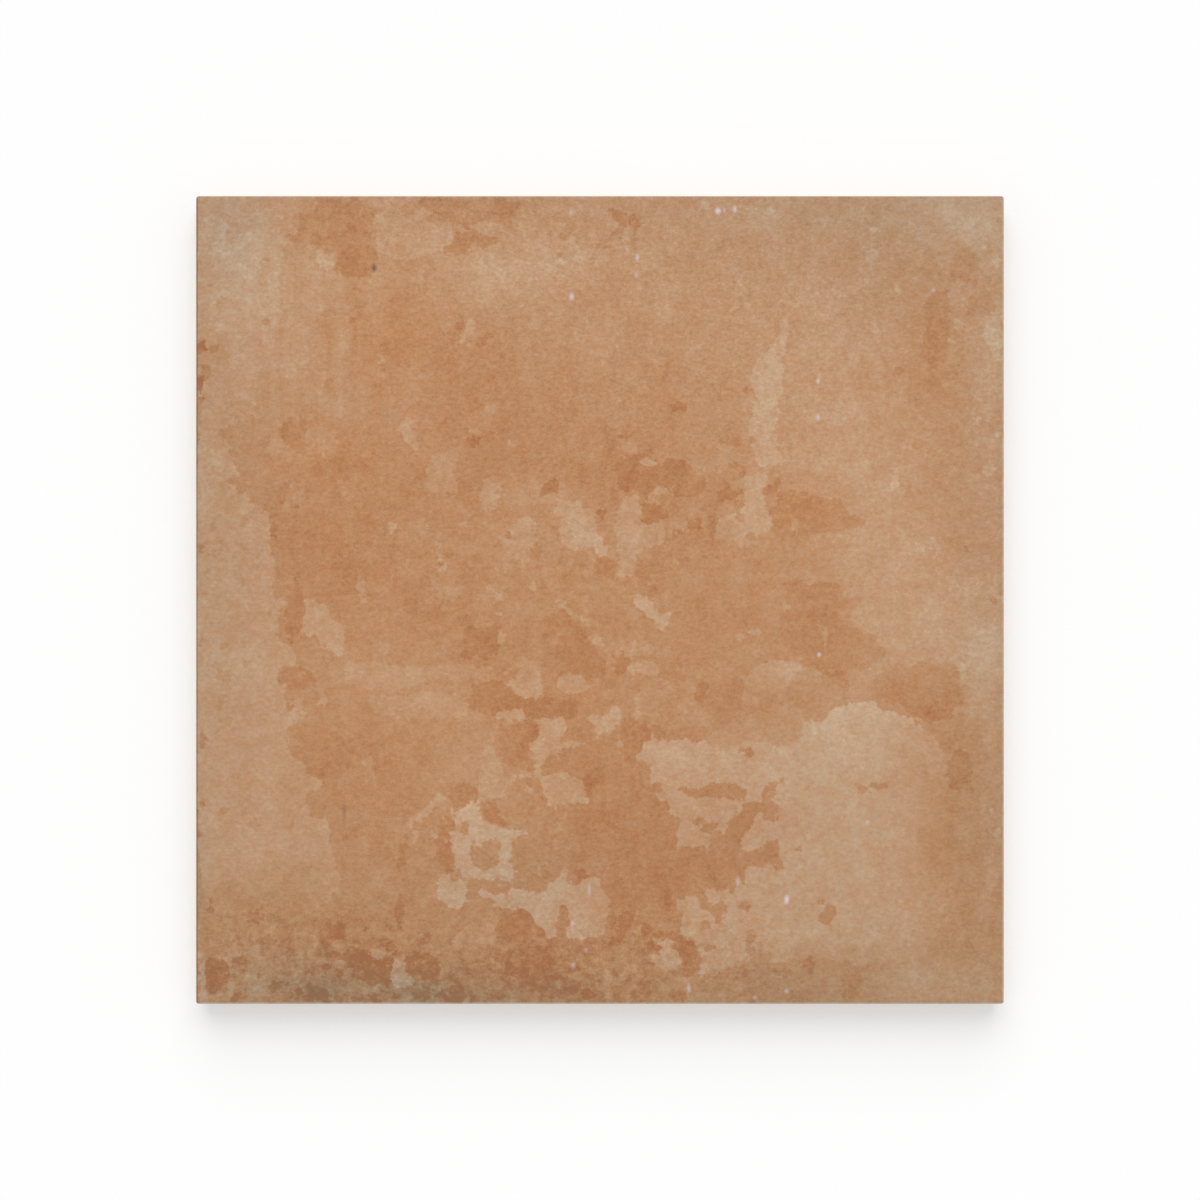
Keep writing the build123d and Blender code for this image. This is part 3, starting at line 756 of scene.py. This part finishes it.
# Grey-brown dullness: (x, y, half width, half height, strength).
base_stain = -0.9
STAIN_WASHES = [
    (-100, 0, 19, 120, 1.9), (100, 0, 14, 120, 1.5), (65, 100, 50, 22, 1.9), (-20, 104, 90, 10, 1.0),
    (0, -100, 130, 14, 2.2), (-60, -97, 45, 8, 2.0), (-60, -78, 60, 14, 0.9), (60, -60, 40, 40, 0.9),
    (-20, -68, 20, 10, 0.9), (-92, 92, 12, 12, 1.3), (70, 70, 14, 10, 0.5), (-55, -92, 30, 10, 0.5),
    (75, -92, 40, 16, 0.9), (98, -60, 10, 25, 0.8), (-70, -58, 12, 18, 0.5),
    # Grey blotches along the foot.
    (-70, -97, 5, 2.5, 3.0), (-42, -97.5, 9, 2.5, 2.5), (-10, -96, 7, 3, 1.5),
    (-80, -95.5, 4, 1.5, 1.5), (40, -92.5, 5, 3, 0.8), (-25, -98, 8, 2, 1.5), (-78, -91, 12, 7, 1.0),
    (-62, -93, 5, 4, 0.8), (-50, -97, 14, 3, 1.0), (-3, -97.5, 4, 2, 1.0), (45, -97, 18, 3, 0.8),
    # Drifts over the field.
    (0, -60, 90, 20, 0.4), (-50, 65, 14, 14, -0.6), (50, 25, 10, 10, -0.5), (-70, 35, 20, 8, -0.5),
    (75, 88, 16, 14, 0.6), (-95, 92, 8, 10, 0.5),
    # The left rim.
    (-98.6, -72, 1.6, 13, 1.0),
]

# How far chips of both layers stand out: (x, y, half width, half height, strength).
base_wear = 0.3
WEAR_WASHES = [
    (-30, -93, 75, 10, 0.75), (-20, 14, 60, 14, 0.1), (25, -8, 24, 9, -0.15), (62, -60, 20, 24, -0.1),
    (-88, -40, 12, 40, -0.15), (-40, 94, 45, 8, 0.3), (95, 30, 7, 70, 0.15), (12, -84, 24, 8, 0.3),
    (-80, -84, 22, 9, 0.4),
]

# How strong the grain is.
base_grain = 1.0
GRAIN_WASHES = [
    (10, 80, 75, 50, 0.4), (-85, -40, 22, 50, -0.15), (62, -60, 30, 28, -0.3), (-78, -88, 30, 10, 0.2),
]

# Where upright streaks show.
STREAK_WASHES = [
    (-70, 58, 22, 40, 1.0), (91, -66, 9, 30, 0.8), (72, 55, 28, 30, 0.3), (-70, -88, 30, 8, 0.4),
]

# Painted light and shade on the arris, a paler line on the right and bottom sides and a darker, duller
# one on the top and left, as light falls on the rounded edge: (side along x, side along y, tone,
# stain).
PAINTED_RIM_LIGHT_AND_SHADE = [
    (1, 0, 1.6, 1.1), (0, -1, 2.6, 1.5), (0, 1, -2.0, 3.0), (-1, 0, -4.0, 6.0),
]

# How far from an outline its distance is followed, how far past its half size a
# speck is followed, and how wide the painted light and shade of the arris blends in.
patch_reach = 3.0
speck_reach = 0.9
rim_blend = 0.2

# Points put in along each stretch of an outline to round it.
outline_steps = 3


def washes(x, y, dabs):
    """The sum of soft dabs, each of its full strength in its middle."""
    total = np.zeros_like(x)
    for centre_x, centre_y, half_width, half_height, strength in dabs:
        across = (x - centre_x) / half_width
        up = (y - centre_y) / half_height
        total += strength * np.exp(-(across**2) - up**2)
    return total


def rounded_outline(corners):
    """A smooth closed line through the corners."""
    corners = np.array(corners, dtype=float)
    before, after = np.roll(corners, 1, axis=0), np.roll(corners, -1, axis=0)
    beyond = np.roll(corners, -2, axis=0)
    pieces = []
    for step in range(outline_steps):
        t = step / outline_steps
        pieces.append(
            0.5 * (
                2 * corners
                + (after - before) * t
                + (2 * before - 5 * corners + 4 * after - beyond) * t**2
                + (3 * corners - before - 3 * after + beyond) * t**3
            )
        )
    return np.stack(pieces, axis=1).reshape(-1, 2)


def depth_inside(outline, x, y):
    """Distance to a closed line, above 0 inside it."""
    start, end = outline, np.roll(outline, -1, axis=0)
    along_x, along_y = (end - start).T
    from_x = x[:, None] - start[:, 0]
    from_y = y[:, None] - start[:, 1]
    length = along_x**2 + along_y**2
    share = np.clip((from_x * along_x + from_y * along_y) / length, 0, 1)
    distance = np.hypot(from_x - share * along_x, from_y - share * along_y).min(axis=1)
    crosses = (from_y < 0) != (y[:, None] < end[:, 1])
    side = (from_x * along_y - from_y * along_x) * np.where(along_y > 0, 1, -1) < 0
    inside = (crosses & side).sum(axis=1) % 2 == 1
    return np.where(inside, distance, -distance)


class PatchLayer:
    """Depth inside the nearest patch of a layer, and that patch's strength."""

    def __init__(self, x, y):
        self.x, self.y = x, y
        self.depth = np.full_like(x, -patch_reach)
        self.strength = np.full_like(x, 1.0)

    def near(self, low_x, high_x, low_y, high_y):
        """Numbers of the points within reach of a box."""
        return np.flatnonzero(
            (self.x > low_x - patch_reach)
            & (self.x < high_x + patch_reach)
            & (self.y > low_y - patch_reach)
            & (self.y < high_y + patch_reach)
        )

    def outlined(self, corners):
        """Numbers of the points near an outline, and their depth inside it."""
        outline = rounded_outline(corners)
        low, high = outline.min(axis=0), outline.max(axis=0)
        points = self.near(low[0], high[0], low[1], high[1])
        return points, depth_inside(outline, self.x[points], self.y[points])

    def raise_to(self, points, depth, strength):
        """Adds a patch where it is deeper than what is there."""
        depth = np.clip(depth, -patch_reach, patch_reach)
        deeper = depth > self.depth[points]
        self.depth[points[deeper]] = depth[deeper]
        self.strength[points[deeper]] = strength

    def add(self, strength, corners):
        """Adds the patch inside an outline."""
        points, depth = self.outlined(corners)
        self.raise_to(points, depth, strength)

    def cut(self, corners):
        """Takes away what lies inside an outline."""
        points, depth = self.outlined(corners)
        self.depth[points] = np.minimum(self.depth[points], -depth)

    def add_spot(self, centre_x, centre_y, half_width, half_height, strength):
        """Adds a round patch."""
        points = self.near(
            centre_x - half_width, centre_x + half_width,
            centre_y - half_height, centre_y + half_height,
        )
        across = (self.x[points] - centre_x) / half_width
        up = (self.y[points] - centre_y) / half_height
        radius = min(half_width, half_height)
        self.raise_to(points, radius * (1 - np.hypot(across, up)), strength)


def print_layers(x, y):
    """The pale and the deep layer of the print."""
    pale, deep = PatchLayer(x, y), PatchLayer(x, y)
    for strength, corners in PALE_PATCHES:
        pale.add(strength, corners)
    for corners in PALE_CUTS:
        pale.cut(corners)
    for strength, corners in DEEP_PATCHES:
        deep.add(strength, corners)
    for centre_x, centre_y, half_width, half_height, tone in SPOTS:
        layer = pale if tone > 0 else deep
        layer.add_spot(centre_x, centre_y, half_width, half_height, abs(tone))
    pale.strength *= 1 - np.clip(washes(x, y, PALE_FADES), 0, 1)
    deep.strength *= 1 - np.clip(washes(x, y, DEEP_FADES), 0, 1)
    return pale, deep


def speck_layer(x, y):
    """Place in the nearest speck, measured in its own half sizes, and its whiteness."""
    specks = np.array(SPECKS)
    away = np.hypot(x[:, None] - specks[:, 0], y[:, None] - specks[:, 1])
    centre_x, centre_y, half_width, half_height, whiteness = specks[away.argmin(axis=1)].T
    in_reach = away.min(axis=1) < np.maximum(half_width, half_height) + speck_reach
    across = (x - centre_x) / half_width
    up = (y - centre_y) / half_height
    return across, up, whiteness * in_reach


def paint_rim_light_and_shade(x, y, tone, stain):
    """Tone and stain with painted light and shade on the arris: a thin paler line on the right and
    bottom sides, and a darker, duller one on the top and left.
    """
    for side_x, side_y, rim_light_tone, rim_shade_dullness in PAINTED_RIM_LIGHT_AND_SHADE:
        beyond = side_x * x + side_y * y - (half_side - arris_radius)
        share = np.clip(beyond / rim_blend, 0, 1)
        tone = tone + share * (rim_light_tone - tone)
        stain = stain + share * (rim_shade_dullness - stain)
    return tone, stain


def print_fields(x, y):
    """Everything that the print's nodes read, by name, at the given points."""
    pale, deep = print_layers(x, y)
    across, up, whiteness = speck_layer(x, y)
    tone = base_tone + washes(x, y, TONE_WASHES)
    stain = base_stain + washes(x, y, STAIN_WASHES)
    # Painted light and shade on the arris: paler lines on the right and bottom, darker ones on the top
    # and left.
    tone, stain = paint_rim_light_and_shade(x, y, tone, stain)
    return {
        "tone": tone,
        "stain": stain,
        "pale_depth": pale.depth,
        "pale_strength": pale.strength,
        "deep_depth": deep.depth,
        "deep_strength": deep.strength,
        "wear": base_wear + washes(x, y, WEAR_WASHES),
        "streaks": washes(x, y, STREAK_WASHES),
        "grain": base_grain + washes(x, y, GRAIN_WASHES),
        "speck_across": across,
        "speck_up": up,
        "speck_whiteness": whiteness,
    }


def store(data, name, values):
    """Keeps one number a point in the mesh."""
    layer = data.attributes.new(name, "FLOAT", "POINT")
    layer.data.foreach_set("value", np.asarray(values, dtype=np.float32))


def make_tile():
    """The tile as an object, with its print stored at the points near the face."""
    mesh = tile_mesh()
    points = np.concatenate(mesh.points)
    data = bpy.data.meshes.new("tile_skin")
    data.from_pydata((points * MM).tolist(), [], mesh.faces)
    data.update()
    data.shade_smooth()
    data.set_sharp_from_angle(angle=radians(40))
    printed = np.flatnonzero(points[:, 2] > tile_thickness - print_depth)
    x, y = points[printed, :2].T
    for name, values in print_fields(x, y).items():
        everywhere = np.zeros(len(points))
        everywhere[printed] = values
        store(data, name, everywhere)
    # Between these two levels the nodes fade the glaze out, just below the arris.
    glazed = points[:, 2] > tile_thickness - arris_radius - glaze_fade / 2
    store(data, "glaze", np.where(glazed, 2.0, -1.0))
    tile = bpy.data.objects.new("tile_skin", data)
    bpy.context.collection.objects.link(tile)
    return tile


def linear(*srgb):
    """Linear colour, with alpha, of an 8-bit sRGB colour."""
    values = [value / 255 for value in srgb]
    return [
        value / 12.92 if value <= 0.04045 else ((value + 0.055) / 1.055) ** 2.4
        for value in values
    ] + [1.0]


class Graph:
    """Adds nodes to a material or world in few words. A socket or a number feeds each input."""

    def __init__(self, owner):
        owner.use_nodes = True
        self.tree = owner.node_tree
        self.tree.nodes.clear()

    def node(self, kind, inputs=None, **settings):
        """One node, with its inputs by name or number."""
        node = self.tree.nodes.new(kind)
        for name, value in settings.items():
            setattr(node, name, value)
        for name, value in (inputs or {}).items():
            socket = node.inputs[name]
            if isinstance(value, bpy.types.NodeSocket):
                self.tree.links.new(value, socket)
            else:
                socket.default_value = value
        return node

    def end(self, shader, kind="ShaderNodeOutputMaterial"):
        """Leads a shader to the output."""
        self.node(kind, {"Surface": shader})

    def math(self, operation, first, second=0.0, third=0.0):
        inputs = {0: first, 1: second, 2: third}
        return self.node("ShaderNodeMath", inputs, operation=operation).outputs[0]

    def add(self, *values):
        """The sum of all values."""
        total = values[0]
        for value in values[1:]:
            total = self.math("ADD", total, value)
        return total

    def less(self, first, second):
        return self.math("SUBTRACT", first, second)

    def times(self, first, second):
        return self.math("MULTIPLY", first, second)

    def any_of(self, *shares):
        """The largest of the values."""
        largest = shares[0]
        for share in shares[1:]:
            largest = self.math("MAXIMUM", largest, share)
        return largest

    def vector(self, operation, first, second, third=(0, 0, 0)):
        inputs = {0: first, 1: second, 2: third}
        return self.node("ShaderNodeVectorMath", inputs, operation=operation).outputs[0]

    def attribute(self, name):
        """A number stored at the points of the mesh."""
        return self.node("ShaderNodeAttribute", attribute_name=name).outputs["Fac"]

    def noise(self, place, scale, detail=2.0, roughness=0.5):
        """A noise from 0 to 1. Its scale is in waves per millimetre."""
        inputs = {"Vector": place, "Scale": scale, "Detail": detail, "Roughness": roughness}
        return self.node("ShaderNodeTexNoise", inputs).outputs["Fac"]

    def swing(self, place, scale, gain, detail=2.0, roughness=0.5):
        """A noise round 0, as wide as its gain."""
        noise = self.noise(place, scale, detail, roughness)
        return self.math("MULTIPLY_ADD", noise, gain, -gain / 2)

    def step(self, value, low, high):
        """0 at low, 1 at high, and smooth between them."""
        inputs = {"Value": value, "From Min": low, "From Max": high}
        return self.node("ShaderNodeMapRange", inputs, interpolation_type="SMOOTHSTEP").outputs[0]

    def ramp(self, value, stops):
        """Colour between (place, colour) stops."""
        node = self.node("ShaderNodeValToRGB", {"Fac": value})
        elements = node.color_ramp.elements
        elements[0].position, elements[0].color = stops[0]
        elements[1].position, elements[1].color = stops[-1]
        for position, colour in stops[1:-1]:
            elements.new(position).color = colour
        return node.outputs["Color"]

    def blend(self, share, first, second):
        """First colour at share 0, second at share 1. Inputs 6 and 7 are the colours."""
        inputs = {"Factor": share, 6: first, 7: second}
        return self.node("ShaderNodeMix", inputs, data_type="RGBA").outputs[2]

    def mix(self, share, first, second):
        """First shader at share 0, second at share 1."""
        return self.node("ShaderNodeMixShader", {0: share, 1: first, 2: second}).outputs[0]


def millimetres(graph, stretch=(1, 1, 1)):
    """Place on the tile in millimetres."""
    place = graph.node("ShaderNodeTexCoord").outputs["Object"]
    return graph.vector("MULTIPLY", place, [part / MM for part in stretch])


# Colours of the print by tone, from deep to pale. Then what one level of stain
# adds to a share of 1 of red, green and blue, and how much stain comes with the
# coarse and with the fine tone.
tone_span = 8.0
PRINT_COLOURS = [
    (-4.0, linear(158, 99, 56)),
    (-2.5, linear(170, 118, 75)),
    (-1.0, linear(180, 134, 93)),
    (0.0, linear(186, 143, 107)),
    (1.0, linear(191, 155, 121)),
    (2.0, linear(198, 166, 134)),
    (4.0, linear(211, 188, 155)),
]
stain_tint = (-0.054, -0.005, 0.049)
stain_of_coarse = 0.3
stain_of_fine = -0.5

# The other colours of the tile, how much of each is laid on, and at how many of
# its half sizes a speck has faded out.
white_speck = linear(220, 218, 226)
dark_speck = linear(84, 62, 44)
speck_cover = 0.7
speck_fade = 2.0
body_dark = linear(186, 157, 131)
body_pale = linear(212, 186, 160)
body_speck = linear(128, 98, 74)
body_speck_cover = 0.5
kiln_wash = linear(226, 217, 206)
kiln_wash_cover = 0.75

# Where a mark is none and where it is full. First in millimetres: the depth
# inside a patch, and the height of the kiln wash. Then in levels of a noise.
patch_edge = (-0.2, 0.25)
kiln_wash_height = (0.6, 0.15)
kiln_wash_left = (0.3, 0.56)
pale_chip = (0.54, 0.57)
deep_chip = (0.46, 0.43)
speck_in_body = (0.68, 0.74)
glaze_line = (0.3, 0.6)

# How much the grain of a surface adds to its roughness.
roughness_of_grain = 0.16


def coarse_tone(graph, place):
    """Tone of the print's patches with their ragged edges, and of its mottling."""
    ragged = graph.swing(place, scale=0.4, gain=4.6, detail=4, roughness=0.62)
    pale = graph.step(graph.add(graph.attribute("pale_depth"), ragged), *patch_edge)
    deep = graph.step(graph.less(graph.attribute("deep_depth"), ragged), *patch_edge)
    pale = graph.times(pale, graph.attribute("pale_strength"))
    deep = graph.times(deep, graph.attribute("deep_strength"))
    upright = millimetres(graph, stretch=(1, 0.12, 1))
    streaks = graph.swing(upright, scale=0.35, gain=3.6, detail=3)
    return graph.add(
        graph.attribute("tone"),
        graph.less(pale, deep),
        graph.swing(place, scale=0.1, gain=5.4, detail=4, roughness=1.0),
        graph.times(streaks, graph.attribute("streaks")),
    )


def fine_tone(graph, place):
    """Tone of the small chips and of the grain."""
    flakes = graph.noise(place, scale=0.42, detail=5, roughness=0.75)
    chips = graph.less(graph.step(flakes, *pale_chip), graph.step(flakes, *deep_chip))
    wide = millimetres(graph, stretch=(0.85, 1.2, 1))
    grain = graph.swing(wide, scale=0.9, gain=5.3, detail=3, roughness=0.95)
    grain = graph.times(grain, graph.attribute("grain"))
    return graph.add(grain, graph.times(chips, graph.attribute("wear")))


def speck_share(graph):
    """How white the nearest speck makes a place, or how dark below 0."""
    across, up = graph.attribute("speck_across"), graph.attribute("speck_up")
    away = graph.math("SQRT", graph.add(graph.times(across, across), graph.times(up, up)))
    return graph.times(graph.step(away, speck_fade, 0.0), graph.attribute("speck_whiteness"))


def print_colour(graph, place):
    """Colour of the printed glaze."""
    coarse = coarse_tone(graph, place)
    fine = fine_tone(graph, place)
    level = graph.math("MULTIPLY_ADD", graph.add(coarse, fine), 1 / tone_span, 0.5)
    stops = [(0.5 + tone / tone_span, colour) for tone, colour in PRINT_COLOURS]
    stain = graph.math("MULTIPLY_ADD", coarse, stain_of_coarse, graph.attribute("stain"))
    stain = graph.math("MULTIPLY_ADD", fine, stain_of_fine, stain)
    clouds = graph.swing(place, scale=0.23, gain=3.0, detail=4, roughness=0.85)
    tint = graph.vector("MULTIPLY_ADD", stain_tint, graph.add(stain, clouds), (1, 1, 1))
    colour = graph.vector("MULTIPLY", graph.ramp(level, stops), tint)
    speck = speck_share(graph)
    colour = graph.blend(graph.times(speck, speck_cover), colour, white_speck)
    return graph.blend(graph.times(speck, -1.0), colour, dark_speck)


def body_colour(graph, place):
    """Colour of the bare body, with kiln wash on the ribs of the back."""
    mottling = graph.noise(place, scale=0.9, detail=4)
    mottled = graph.blend(mottling, body_dark, body_pale)
    height = graph.node("ShaderNodeSeparateXYZ", {0: place}).outputs["Z"]
    low = graph.step(height, *kiln_wash_height)
    rubbed = graph.noise(place, scale=0.12, detail=5, roughness=0.65)
    wash = graph.times(low, graph.step(rubbed, *kiln_wash_left))
    washed = graph.blend(graph.times(wash, kiln_wash_cover), mottled, kiln_wash)
    specks = graph.step(graph.noise(place, scale=1.7), *speck_in_body)
    return graph.blend(graph.times(specks, body_speck_cover), washed, body_speck)


def matte_shader(graph, colour, grain, roughness, depth):
    """A matte surface with a fine relief of the given depth in millimetres."""
    bump = graph.node("ShaderNodeBump", {"Height": grain, "Strength": 0.3, "Distance": depth * MM})
    rough = graph.math("MULTIPLY_ADD", grain, roughness_of_grain, roughness)
    inputs = {"Base Color": colour, "Roughness": rough, "Normal": bump.outputs[0]}
    return graph.node("ShaderNodeBsdfPrincipled", inputs).outputs[0]


def tile_material():
    """Fired porcelain: printed glaze on the face, bare body at the sides and back."""
    material = bpy.data.materials.new("fired_porcelain")
    graph = Graph(material)
    place = millimetres(graph)
    wavy = graph.swing(place, scale=0.5, gain=1.6)
    glaze = graph.step(graph.add(graph.attribute("glaze"), wavy), *glaze_line)
    face_grain = graph.noise(place, scale=2.2, roughness=0.7)
    body_grain = graph.noise(place, scale=1.3, detail=3, roughness=0.7)
    face_colour, bare_colour = print_colour(graph, place), body_colour(graph, place)
    face = matte_shader(graph, face_colour, face_grain, roughness=0.52, depth=0.05)
    body = matte_shader(graph, bare_colour, body_grain, roughness=0.7, depth=0.12)
    graph.end(graph.mix(glaze, body, face))
    return material


# The floor: half its side in metres, how far it reaches in under the heel and
# lies below it in millimetres, its colour, and the strength and share of its glow.
floor_half = 6.0
floor_under_heel = 0.15
floor_drop = 0.02
floor_white = (0.98, 0.98, 0.98, 1)
floor_glow = 1.02
floor_glow_share = 0.36


def floor_material():
    """White paper that is clear from below, so that the back can be seen."""
    material = bpy.data.materials.new("floor_white")
    graph = Graph(material)
    rays = graph.node("ShaderNodeLightPath").outputs
    seen = graph.any_of(rays["Is Camera Ray"], rays["Is Glossy Ray"], rays["Is Transmission Ray"])
    paper = graph.node("ShaderNodeBsdfDiffuse", {"Color": floor_white}).outputs[0]
    glow = {"Color": (1, 1, 1, 1), "Strength": floor_glow}
    white = graph.node("ShaderNodeEmission", glow).outputs[0]
    above = graph.mix(graph.times(seen, floor_glow_share), paper, white)
    below = graph.node("ShaderNodeBsdfTransparent").outputs[0]
    underside = graph.node("ShaderNodeNewGeometry").outputs["Backfacing"]
    graph.end(graph.mix(underside, above, below))
    return material


def make_floor():
    """A white floor that keeps the tile's shadow, open under the tile."""
    opening = (back_side() / 2 - floor_under_heel) * MM
    points = []
    for reach in (floor_half, opening):
        for x, y in ((-1, -1), (1, -1), (1, 1), (-1, 1)):
            points.append((x * reach, y * reach, -floor_drop * MM))
    sides = [(i, (i + 1) % 4, 4 + (i + 1) % 4, 4 + i) for i in range(4)]
    data = bpy.data.meshes.new("floor")
    data.from_pydata(points, [], sides)
    data.materials.append(floor_material())
    floor = bpy.data.objects.new("floor", data)
    bpy.context.collection.objects.link(floor)


# The lights: the strength of the sky, and of the sky that is seen, the share of
# white that the sun gives a level surface, and its height and width in degrees.
sky_light = 0.6
sky_seen = 1.0
sun_light = 0.4
sun_elevation = 42
sun_width = 60


def make_sky():
    """A pale sky all round, white where the camera sees it."""
    world = bpy.data.worlds.new("sky")
    bpy.context.scene.world = world
    graph = Graph(world)
    rays = graph.node("ShaderNodeLightPath").outputs
    seen = graph.any_of(rays["Is Camera Ray"], rays["Is Transmission Ray"])
    strength = graph.math("MULTIPLY_ADD", seen, sky_seen - sky_light, sky_light)
    sky = graph.node("ShaderNodeBackground", {"Color": (1, 1, 1, 1), "Strength": strength})
    graph.end(sky.outputs[0], "ShaderNodeOutputWorld")


def make_sun():
    """A soft sun from the top of the picture."""
    elevation = radians(sun_elevation)
    data = bpy.data.lights.new("soft_sun", "SUN")
    data.energy = sun_light * pi / sin(elevation)
    data.angle = radians(sun_width)
    sun = bpy.data.objects.new("soft_sun", data)
    sun.rotation_euler = (-(pi / 2 - elevation), 0, 0)
    bpy.context.collection.objects.link(sun)


# The camera: its lens and sensor in millimetres, and the widths of the face and
# of the picture in pixels.
lens = 100.0
sensor = 36.0
face_pixels = 808
picture_pixels = 1200


def make_camera():
    """A long lens straight above the tile, with +Y at the top of the picture."""
    seen_width = tile_side * MM / (face_pixels / picture_pixels)
    distance = seen_width * lens / sensor
    data = bpy.data.cameras.new("camera")
    data.lens = lens
    data.sensor_width = sensor
    camera = bpy.data.objects.new("camera", data)
    camera.location = (0, 0, tile_high[2] + distance)
    bpy.context.collection.objects.link(camera)
    bpy.context.scene.camera = camera


make_camera()
make_sky()
make_sun()
make_floor()

tile = make_tile()
tile.data.materials.append(tile_material())
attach(tile, "root")
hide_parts("porcelain_tile")

bpy.context.scene.view_settings.view_transform = "Standard"
